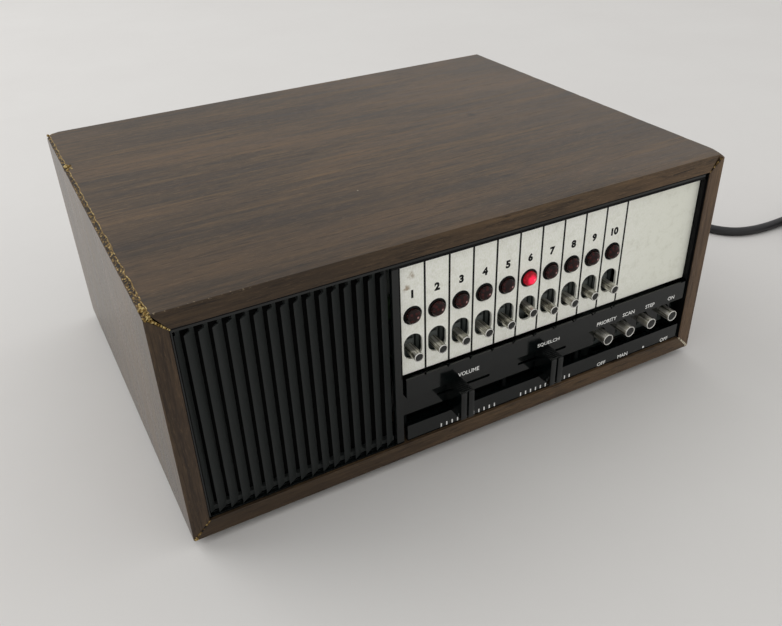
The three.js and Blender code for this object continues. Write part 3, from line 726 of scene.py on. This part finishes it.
# ---------------------------------------------------------------------------------------------------
# Cabinet: four veneered boards, with the upper left joint open and chipped
# ---------------------------------------------------------------------------------------------------
RINGS = 160
OPEN_JOINT = {"front": 2.2, "back": 1.2}
# A larger chip of the open joint, and the crumbs beside it, at this depth.
BIG_CHIP_Y = 151
# Each board's end stands back from its mitre line by this much.
MITRE = 0.21
MITRE_STEPS = 12


def rough(a, b, c, scale):
    """Noise from -1 to 1 at a point given in millimetres."""
    return noise.noise(Vector((a, b, c)) / scale)


def open_joint(y):
    """How far the open upper left joint is chipped back at depth y."""
    share = y / DEPTH
    width = OPEN_JOINT["front"] + (OPEN_JOINT["back"] - OPEN_JOINT["front"]) * share
    chips = 0.35 * rough(3, y, 0, 5) + 0.25 * max(0, rough(9, y, 4, 2.2))
    rear_corner = 5.5 * max(0, 1 - (DEPTH - y) / 4) ** 2
    big_chip = 1.6 * max(0, 1 - abs(y - BIG_CHIP_Y) / 5)
    return max(0.3, width + width * chips + (rear_corner + big_chip))


def right_chips(y, size, corner, reach):
    """How far the upper right edge is chipped back at depth y, most of all at its front corner."""
    return size * max(0, rough(40, y, 7, 7)) ** 2 + corner * max(0, 1 - y / reach) ** 2


def board(name, outline, mat):
    """A board lofted along the depth, from an outline of (x, z) points that may change with y."""
    bm = bmesh.new()
    rings = []
    for i in range(RINGS + 1):
        y = DEPTH * i / RINGS
        rings.append([(x, y, z) for x, z in outline(y)])
    add_rings(bm, rings)
    piece = finish_mesh(bm, name.replace("cabinet_", "veneered_"), "cabinet", mat)
    round_edges(piece, 0.3, 2, 35)
    stand_for(name)


def add_boards():
    """The four boards; the upper left joint is open and the other edges are only worn."""
    def top(y):
        cut = open_joint(y)
        chip = right_chips(y, 0.9, 3, 9)
        return [
            (-HALF + cut, TOP),
            (-HALF + cut + 0.4, TOP - 1.2),
            (-HALF + BOARD + MITRE, TOP - BOARD),
            (HALF - BOARD - MITRE, TOP - BOARD),
            (HALF - MITRE - 0.25 - chip, TOP - 0.25),
            (HALF - MITRE - 0.9 - chip, TOP),
        ]

    def bottom(y):
        outer, inner = HALF - MITRE, HALF - BOARD - MITRE
        return [(-outer, 0), (outer, 0), (inner, BOARD), (-inner, BOARD)]

    def left(y):
        wave = 0.16 * rough(70, y, 2, 9)
        crumble = 0.5 * open_joint(y)
        return [
            (-HALF, MITRE),
            (-HALF, TOP - MITRE - crumble - wave),
            (-HALF + 0.9, TOP - MITRE - crumble - 0.5),
            (-HALF + BOARD, TOP - BOARD - MITRE),
            (-HALF + BOARD, BOARD + MITRE),
        ]

    def right(y):
        chip = right_chips(y, 0.4, 1.3, 8)
        return [
            (HALF, MITRE),
            (HALF, TOP - MITRE - 0.6 - chip),
            (HALF - 0.5, TOP - MITRE - 0.15 - chip),
            (HALF - BOARD, TOP - BOARD - MITRE),
            (HALF - BOARD, BOARD + MITRE),
        ]

    board("cabinet_top", top, WOOD_X)
    board("cabinet_bottom", bottom, WOOD_X)
    board("cabinet_left_side", left, WOOD_Z)
    board("cabinet_right_side", right, WOOD_Z)


def add_joint_core():
    """The crumbling core seen in the open joint: a lumpy strip between the two veneers."""
    bm = bmesh.new()
    across, along = 6, 620
    rows = []
    inset = 0.25
    for i in range(along + 1):
        y = inset + (DEPTH - 2 * inset) * i / along
        cut = open_joint(y)
        start = Vector((-HALF + 0.15, TOP - MITRE - 0.5 * cut - 0.25))
        end = Vector((-HALF + cut + 0.25, TOP - 0.12))
        row = []
        for j in range(across + 1):
            t = j / across
            point = start.lerp(end, t)
            out = 0.4 * rough(t * 3, y, 1, 1.1) + 0.22 * rough(t * 5, y, 8, 0.45) - 0.12
            out *= math.sin(math.pi * t) ** 0.5 if 0 < t < 1 else 0
            row.append(bm.verts.new((point.x - out * 0.7, y, min(TOP - 0.03, point.y + out * 0.7))))
        inner = bm.verts.new((-HALF + 2.6 + cut * 0.3, y, TOP - 2.6 - cut * 0.3))
        rows.append([*row, inner])
    count = across + 2
    for low, high in zip(rows, rows[1:]):
        for j in range(count):
            k = (j + 1) % count
            bm.faces.new((low[j], low[k], high[k], high[j]))
    bm.faces.new(rows[0])
    bm.faces.new(rows[-1])
    finish_mesh(bm, "joint_core", "cabinet", CRUMBS, 60)


def add_lump(bm, x, y, z, size, stretch=(1, 1, 1)):
    """A crumb: a small ball pushed about by noise."""
    made = bmesh.ops.create_icosphere(bm, subdivisions=3, radius=1)["verts"]
    centre = Vector((x, y, z))
    for vertex in made:
        direction = vertex.co.normalized()
        bulge = 1 + 0.45 * noise.noise(direction * 1.6 + centre) + 0.2 * noise.noise(direction * 4 + centre)
        vertex.co = centre + Vector([direction[k] * bulge * size * stretch[k] for k in range(3)])


def add_bead(bm, z0, z1, thick, thin):
    """An uneven bead of glue along one of the left mitres, from the outer corner inwards."""
    steps = 26
    path, radii = [], []
    for i in range(steps + 1):
        t = i / steps
        wobble = 0.12 * rough(t * 20, z0, 3, 3)
        path.append((-HALF + 0.5 + t * (BOARD - 0.3) + wobble, 0.12 + 0.1 * t, z0 + (z1 - z0) * t))
        radii.append((thick + (thin - thick) * t) * (1 + 0.35 * rough(t * 30, 5, z0, 2)))
    tube(bm, path, radii)


def right_mitre(inset, y, z, run, rise):
    """Points along a right mitre at the front, going inwards and, with rise 1 or -1, up or down."""
    shares = [i / MITRE_STEPS for i in range(MITRE_STEPS + 1)]
    return [(HALF - inset - t * run, y, z + rise * t * run) for t in shares]


def add_glue():
    """Squeezed-out glue, loose crumbs and bare chips at the joints and edges."""
    draw = random.Random(11)
    bm = bmesh.new()
    for _ in range(30):
        y = 0.4 + draw.random() ** 2 * 9
        x = -HALF + 0.3 + draw.random() * (2.2 if y < 4 else 1.5)
        add_lump(bm, x, y, TOP - 0.55 - draw.random() * 1.2, 0.35 + draw.random() * 0.5)
    for _ in range(9):
        y = BIG_CHIP_Y - 4 + draw.random() * 8
        add_lump(bm, -HALF + 0.9 + draw.random() * 2.4, y, TOP - 0.4, 0.5 + draw.random() * 0.6)
    for _ in range(8):
        y = DEPTH - 1 - draw.random() * 4
        add_lump(bm, -HALF + 0.8 + draw.random() * 3, y, TOP - 0.7, 0.35 + draw.random() * 0.35)
    add_bead(bm, TOP - 0.5, TOP - BOARD - 0.2, 0.7, 0.4)
    ys = [0.6 + (DEPTH - 2) * i / 300 for i in range(301)]
    edge = [(-HALF + open_joint(y) + 0.1, y, TOP - 0.12) for y in ys]
    tube(bm, edge, [0.2 + 0.14 * rough(5, y, 5, 1.6) for y in ys], 6)
    for _ in range(7):
        x = -HALF + 0.3 + draw.random() * 1.2
        y = draw.random() * 0.3
        z = 0.3 + draw.random() * 1.1
        add_lump(bm, x, y, z, 0.35 + draw.random() * 0.3)
    finish_mesh(bm, "joint_glue", "cabinet", GLUE, 60)

    bm = bmesh.new()
    gap = right_mitre(0.9, 0.18, 0.9, BOARD - 1.2, 1)
    radii = [0.72 - 0.26 * i / MITRE_STEPS + 0.1 * rough(i, 2, 2, 1.3) for i in range(MITRE_STEPS + 1)]
    tube(bm, gap, radii)
    for _ in range(7):
        x = HALF - 0.6 - draw.random() * 1.6
        y = 0.25 + draw.random() * 0.8
        z = 0.5 + draw.random() * 1.4
        add_lump(bm, x, y, z, 0.25 + draw.random() * 0.3)
    for x in (34, 38.5, 41, 43):
        add_lump(bm, x, DEPTH - 0.4, TOP - 0.25, 0.3 + 0.2 * draw.random(), (2.2, 1, 0.7))
    add_lump(bm, -28, 53, TOP - 0.08, 0.3, (1.2, 1, 0.5))
    finish_mesh(bm, "bare_chips", "cabinet", BARE, 60)

    bm = bmesh.new()
    filler = right_mitre(1.7, 0.2, TOP - 1.9, BOARD - 1.8, -1)
    tube(bm, filler, [0.6 - 0.25 * i / MITRE_STEPS for i in range(MITRE_STEPS + 1)])
    add_bead(bm, 0.7, BOARD + 0.2, 0.62, 0.44)
    finish_mesh(bm, "joint_filler", "cabinet", CRUMBS, 60)


add_boards()
add_joint_core()
add_glue()
for corner in ("front_left", "front_right", "rear_left", "rear_right"):
    soften(f"foot_{corner}", RUBBER, 0.5, 3)


# ---------------------------------------------------------------------------------------------------
# Front: moulding, louvres and speaker cloth
# ---------------------------------------------------------------------------------------------------
WINDOW_LEFT, WINDOW_RIGHT, WINDOW_TOP, WINDOW_BOTTOM = -36.4, 125.1, 96.6, 43
MOULDING_FACE = 1.2


def add_speaker_cloth():
    """Black cloth stretched behind the louvres, hardly rippled."""
    low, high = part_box("speaker_grille")
    behind = (high.y - FRONT) / MM + 1.2
    left, width = low.x / MM, (high.x - low.x) / MM
    bottom, height = (low.z - UNDERSIDE) / MM, (high.z - low.z) / MM
    columns, rows = 42, 44
    bm = bmesh.new()
    grid = []
    for j in range(rows + 1):
        z = bottom + height * j / rows
        row = []
        for i in range(columns + 1):
            row.append((left + width * i / columns, behind + 0.1 * rough(i, j, 3, 9), z))
        grid.append([bm.verts.new(point) for point in row])
    for lower, upper in zip(grid, grid[1:]):
        for i in range(columns):
            bm.faces.new((lower[i], lower[i + 1], upper[i + 1], upper[i]))
    cloth = finish_mesh(bm, "speaker_cloth", "cabinet", CLOTH, 60)


def add_bezel_lines():
    """Painted shadow lines: matt black strips along the moulding's steps, its right edge and the gap under
    the top board, and a painted shadow sheet between the panel and the right board.
    """
    out, over = MOULDING_FACE - 0.06, MOULDING_FACE + 0.02
    left, right = WINDOW_LEFT - 3.5, HALF - BOARD - 0.4
    bm = bmesh.new()
    # painted shadow: the gap under the top board, the moulding's steps and its right inner side
    block(bm, (BOARD - HALF + 0.35, out, WINDOW_TOP + 2.1), (right, MOULDING_FACE + 0.5, TOP - BOARD - 0.1))
    block(bm, (left, out, WINDOW_TOP - 0.1), (right, over, WINDOW_TOP + 1.05))
    block(bm, (WINDOW_LEFT - 0.5, out + 0.03, WINDOW_BOTTOM), (WINDOW_LEFT - 0.02, over, WINDOW_TOP))
    block(bm, (WINDOW_RIGHT - 0.12, out + 0.01, WINDOW_BOTTOM), (WINDOW_RIGHT, 3.55, WINDOW_TOP))
    block(bm, (WINDOW_RIGHT - 0.1, out, WINDOW_BOTTOM - 1), (WINDOW_RIGHT + 0.7, over, WINDOW_TOP + 1.4))
    finish_mesh(bm, "painted_bezel_shadows", "cabinet", PAINTED_SHADE, 0)

    # painted shadow: a black sheet on the right board's inner face beside the panel
    bm = bmesh.new()
    block(bm, (HALF - BOARD - 0.27, 0.3, 8.3), (HALF - BOARD - 0.05, 14, TOP - BOARD - 0.4))
    finish_mesh(bm, "painted_cheek_shadow", "cabinet", PAINTED_SHADE, 0)


soften("front_moulding", BLACK, 0.22)
soften("control_panel", BLACK, 0.2)
soften("speaker_grille", GRILLE, 0.12)
add_speaker_cloth()
add_bezel_lines()


# ---------------------------------------------------------------------------------------------------
# Channel strip: plate, print, lamps, switch bodies and levers
# ---------------------------------------------------------------------------------------------------
# Radius of the round lamp holes and of the lever slots' ends.
HOLE = 4.385
PLATE_LOW, PLATE_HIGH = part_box("channel_faceplate")
PLATE_FACE = (PLATE_LOW.y - FRONT) / MM
SLOT_Z = (49.98, 62.43)
NUMERAL_Z = 81.8


def add_plate():
    """The silver plate with its holes and slots, and the lines and numerals printed on it."""
    bm = bmesh.new()
    x0, x1 = PLATE_LOW.x / MM, PLATE_HIGH.x / MM
    z0, z1 = (PLATE_LOW.z - UNDERSIDE) / MM, (PLATE_HIGH.z - UNDERSIDE) / MM
    outlines = [[(x0, z0), (x1, z0), (x1, z1), (x0, z1)]]
    for number in CHANNELS:
        outlines.append(circle(channel_x(number), LAMP_Z, HOLE))
        outlines.append(tall_slot(channel_x(number), *SLOT_Z, HOLE))
    flat_outlines(bm, outlines, PLATE_FACE, (PLATE_HIGH.y - FRONT) / MM)
    plate = finish_mesh(bm, "silver_faceplate", "cabinet", SILVER, 0)
    round_edges(plate, 0.07, 1, 60)
    stand_for("channel_faceplate")

    half_line = 0.46
    edge = 0.03
    bm = bmesh.new()
    for i in range(len(CHANNELS) + 1):
        x = channel_x(1) + PITCH * (i - 0.5)
        low = (x - half_line, PLATE_FACE - INK_OUT, z0 + edge)
        block(bm, low, (x + half_line, PLATE_FACE + INK_IN, z1 - edge))
    for number in CHANNELS:
        lettering(bm, str(number), channel_x(number), NUMERAL_Z, 3.8, PLATE_FACE, 0.06)
    finish_mesh(bm, "plate_print", "cabinet", BLACK_INK, 0)


def add_lamps():
    """Domed lenses, each in a near-black ring that fills its hole in the plate and stands for the shade
    inside the hole.
    """
    hole_shadow_profile = [(3.35, 4.9), (3.35, 3.5), (3.6, 3.15), (3.85, 3.3), (4.33, 3.9), (4.33, 4.9)]
    dome_radius, dome_depth = 3.3, 1.7
    angles = [math.pi / 2 * k / 9 for k in range(1, 10)]
    dome = [(dome_radius * math.sin(a), 2.6 - dome_depth * math.cos(a)) for a in angles]
    flange = [(3.3, 5.1), (4.9, 5.1), (4.9, 6.3), (0.02, 6.3)]
    hole_shadow_rings = bmesh.new()
    for number in CHANNELS:
        x = channel_x(number)
        # painted shade: a near-black ring in each hole, for the shade in its depth
        turned(hole_shadow_rings, hole_shadow_profile, x, LAMP_Z, 40, closed=True)
        bm = bmesh.new()
        turned(bm, [(0.02, 0.9), *dome, *flange], x, LAMP_Z, 40)
        glows = number == LIT
        piece = finish_mesh(bm, f"lens_{number}", "cabinet", GLOWING if glows else RED, 50)
        stand_for(f"lamp_lens_{number}")
    finish_mesh(hole_shadow_rings, "lamp_hole_shadows", "cabinet", PAINTED_SHADE, 30)


def add_switch_bodies():
    """Ten switch bodies in a row, each with an upright slot for its lever and a gap beside it."""
    low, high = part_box("channel_switch_bank")
    front, back = (low.y - FRONT) / MM, (high.y - FRONT) / MM
    z0, z1 = (low.z - UNDERSIDE) / MM, (high.z - UNDERSIDE) / MM
    slot_low, slot_high = 51.9, 57.7
    slot = 1.65
    gap = (2.8, 3.8)
    side = 5.4
    deep = front + 4
    bm = bmesh.new()
    block(bm, (low.x / MM, deep, z0), (high.x / MM, back, z1), 0.2)
    for number in CHANNELS:
        x = channel_x(number)
        for x0, x1, low_z, high_z in (
            (x - side, x - slot, z0, z1),
            (x - slot, x + slot, slot_high, z1),
            (x - slot, x + slot, z0, slot_low),
            (x + slot, x + gap[0], z0, z1),
            (x + gap[1], x + side, z0, z1),
        ):
            block(bm, (x0, front, low_z), (x1, deep, high_z))
    piece = finish_mesh(bm, "switch_bodies", "cabinet", GREY_SWITCH, 30)
    stand_for("channel_switch_bank")


def add_lever(kind, tail, rim, neck, tongue, shutter=0.0):
    """A tubular lever with a bright rim and a sunken dark core, narrower behind its neck.

    Shutter is half the height of the grey plate that covers the slot of the lever's switch.
    """
    node = f"{kind}_knob{tail}"
    low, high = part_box(node)
    x, _, z = middle(node)
    radius = (high.x - low.x) / 2 / MM
    tip, back = (low.y - FRONT) / MM, (high.y - FRONT) / MM
    hollow = radius - rim
    sink = 0.55
    profile = [
        (0.02, tip + sink - 0.1),
        (hollow * 0.5, tip + sink - 0.08),
        (hollow * 0.97, tip + sink),
        (hollow, tip + sink - 0.08),
        (hollow, tip + 0.12),
        (hollow + 0.07, tip + 0.02),
        (hollow + rim * 0.5, tip),
        (radius - 0.1, tip + 0.05),
        (radius, tip + 0.22),
        (radius, neck),
        (tongue, neck + 0.05),
        (tongue, back),
        (0.02, back),
    ]
    bm = bmesh.new()
    turned(bm, profile, x, z, 48)
    if shutter:
        block(bm, (x - 2.1, neck - 0.1, z - shutter), (x + 2.1, neck + 0.3, z + shutter))
    piece = finish_mesh(bm, f"{kind}_lever_tube{tail}", f"{kind}_lever{tail}", LEVER, 40)
    for mat in (CORE, GREY_SWITCH, RIM):
        piece.data.materials.append(mat)
    for face in piece.data.polygons:
        point = (face.center - at(x, 0, z)) / MM
        if math.hypot(point.x, point.z) < hollow * 0.99 and point.y < tip + sink + 0.05:
            face.material_index = 1
        elif point.y < tip + 0.3:
            face.material_index = 3
        elif point.y > neck - 0.15:
            face.material_index = 2
    stand_for(node)


add_plate()
add_lamps()
add_switch_bodies()
for channel in CHANNELS:
    add_lever("channel", f"_{channel}", 0.42, 7.2, 1.2, 4.4)
for function in ("priority", "scan_manual", "step", "power"):
    add_lever(function, "", 0.5, 8.2, 1.4)


# ---------------------------------------------------------------------------------------------------
# Control panel: print and slide handles
# ---------------------------------------------------------------------------------------------------
LABEL_Z, LOWER_LABEL_Z = 34.6, 9.7
TICKS, TICK_PITCH, HALF_TICK = 11, 2.89, 0.31
TICK_LOW, TICK_HIGH = 8.95, 10.9
# Places of the first tick under each slide handle.
TICK_STARTS = (-17.3, 26.5)


def add_panel_print():
    """The words, the dot under the step lever and the ticks under the slide handles."""
    out, inner = MOULDING_FACE - INK_OUT, MOULDING_FACE + INK_IN
    bm = bmesh.new()
    labels = [
        ("VOLUME", -3.2, LABEL_Z, 11),
        ("SQUELCH", 40.7, LABEL_Z, 12.5),
        ("PRIORITY", middle("priority_knob")[0], LABEL_Z, 12),
        ("SCAN", middle("scan_manual_knob")[0], LABEL_Z, 7.4),
        ("STEP", middle("step_knob")[0], LABEL_Z, 5.8),
        ("ON", middle("power_knob")[0], LABEL_Z, 4.2),
        ("OFF", middle("priority_knob")[0], LOWER_LABEL_Z, 5.2),
        ("MAN", middle("scan_manual_knob")[0], LOWER_LABEL_Z, 6.4),
        ("OFF", middle("power_knob")[0], LOWER_LABEL_Z, 5.2),
    ]
    for text, x, z, width in labels:
        lettering(bm, text, x, z, 2.1, MOULDING_FACE, 0.012, width)
    dot = circle(middle("step_knob")[0], LOWER_LABEL_Z, 0.6, 20)
    add_rings(bm, [[(x, y, z) for x, z in dot] for y in (out, inner)])
    for start in TICK_STARTS:
        for i in range(TICKS):
            x = start + TICK_PITCH * i
            block(bm, (x - HALF_TICK, out, TICK_LOW), (x + HALF_TICK, inner, TICK_HIGH))
    finish_mesh(bm, "panel_print", "cabinet", WHITE_INK, 0)


def add_slide_handle(name):
    """A blocky grip with a groove down its front, cross ribs on top and a flat stem."""
    low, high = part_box(f"{name}_knob")
    x = middle(f"{name}_knob")[0]
    half = (high.x - low.x) / 2 / MM
    front, back = (low.y - FRONT) / MM, 4.5
    bottom, top = (low.z - UNDERSIDE) / MM, (high.z - UNDERSIDE) / MM
    crown = top - 0.35
    bm = bmesh.new()
    block(bm, (x - half, front, bottom), (x - 0.5, back, crown), 0.25, 3)
    block(bm, (x + 0.5, front, bottom), (x + half, back, crown), 0.25, 3)
    block(bm, (x - 0.6, front + 1, bottom + 0.1), (x + 0.6, back - 0.1, crown - 0.1), 0.05)
    ribs = 9
    step = (back - front - 1.2) / ribs
    for i in range(ribs):
        y = front + 0.7 + step * i
        block(bm, (x - half + 0.35, y, crown - 0.15), (x + half - 0.35, y + step * 0.5, top), 0.12)
    block(bm, (x - 0.8, back - 1, 24.6), (x + 0.8, (high.y - FRONT) / MM, 25.4))
    piece = finish_mesh(bm, f"{name}_grip", f"{name}_handle", BLACK, 40)
    stand_for(f"{name}_knob")


add_panel_print()
add_slide_handle("volume")
add_slide_handle("squelch")


# ---------------------------------------------------------------------------------------------------
# Rear and inner parts
# ---------------------------------------------------------------------------------------------------
def add_rear_screws():
    """Pan-head screws around the rear panel's edge, each cross slot painted on as a flat black cross of
    shade.
    """
    low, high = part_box("rear_panel")
    y = (high.y - FRONT) / MM
    inset = 5
    head = [(0.02, -0.2), (3, -0.2), (3, 0.5), (2.5, 1.1), (1.4, 1.45), (0.02, 1.5)]
    profile = [(radius, y + out) for radius, out in head]
    long, wide = 1.7, 0.25
    bm = bmesh.new()
    slots = bmesh.new()
    for x in (low.x / MM + inset, 0, high.x / MM - inset):
        for z in ((low.z - UNDERSIDE) / MM + inset, (high.z - UNDERSIDE) / MM - inset):
            turned(bm, profile, x, z, 28)
            # painted shade: flat black crosses on each head where a slot's shade would be
            block(slots, (x - long, y + 1.35, z - wide), (x + long, y + 1.53, z + wide))
            block(slots, (x - wide, y + 1.36, z - long), (x + wide, y + 1.54, z + long))
    finish_mesh(bm, "rear_screws", "cabinet", NICKEL, 40)
    finish_mesh(slots, "rear_screw_slot_shade", "cabinet", PAINTED_SHADE, 0)


PLAIN = {
    "lamp_board": CIRCUIT,
    "main_circuit_board": CIRCUIT,
    "crystal_board": CIRCUIT,
    "function_switch_bank": GREY_SWITCH,
    "volume_slide_pot": STEEL,
    "squelch_slide_pot": STEEL,
    "speaker_frame": STEEL,
    "speaker_cone": PAPER,
    "speaker_magnet": FERRITE,
    "chassis": STEEL,
    "power_transformer": IRON,
    "filter_capacitor": SLEEVE,
    "rear_panel": HARDBOARD,
    "antenna_jack": NICKEL,
    "external_speaker_jack": NICKEL,
    "dc_power_jack": NICKEL,
}
for node, mat in PLAIN.items():
    soften(node, mat, 0.2)
for node in ("mains_plug", "strain_relief"):
    soften(node, JACKET, 0.7, 3)
add_rear_screws()


# ---------------------------------------------------------------------------------------------------
# Floor and light
# ---------------------------------------------------------------------------------------------------
def add_floor():
    """A pale, faintly mottled table top, large enough to fill every view."""
    s = Shader("pale_floor", roughness=0.8, Specular_IOR_Level=0.25)
    blotches = s.noise(7, 5)
    s.color(s.mix(blotches, srgb(219, 217, 215), srgb(226, 225, 223)))
    s.bump(s.noise(60, 4), 0.3, 0.4)
    bm = bmesh.new()
    bmesh.ops.create_grid(bm, x_segments=2, y_segments=2, size=12)
    mesh = bpy.data.meshes.new("floor")
    bm.to_mesh(mesh)
    bm.free()
    mesh.materials.append(s.mat)
    floor = bpy.data.objects.new("floor", mesh)
    bpy.context.scene.collection.objects.link(floor)


WINDOW_PLACE = (-1.1, 1.0, 1.3)
WINDOW_SIZE = 1.4
WINDOW_POWER = 11
ROOM_STRENGTH = 0.745


def add_lighting():
    """A white room that lights from all round, and a soft window at the far left, aimed at the part."""
    world = bpy.data.worlds.new("studio")
    world.use_nodes = True
    background = world.node_tree.nodes["Background"]
    background.inputs["Color"].default_value = (1.0, 0.992, 0.978, 1)
    background.inputs["Strength"].default_value = ROOM_STRENGTH
    bpy.context.scene.world = world
    data = bpy.data.lights.new("window", "AREA")
    data.size = WINDOW_SIZE
    data.energy = WINDOW_POWER
    light = bpy.data.objects.new("window", data)
    light.location = WINDOW_PLACE
    light.rotation_euler = (-Vector(WINDOW_PLACE)).to_track_quat("-Z", "Y").to_euler()
    bpy.context.scene.collection.objects.link(light)
    bpy.context.scene.view_settings.view_transform = "Standard"


add_floor()
add_lighting()
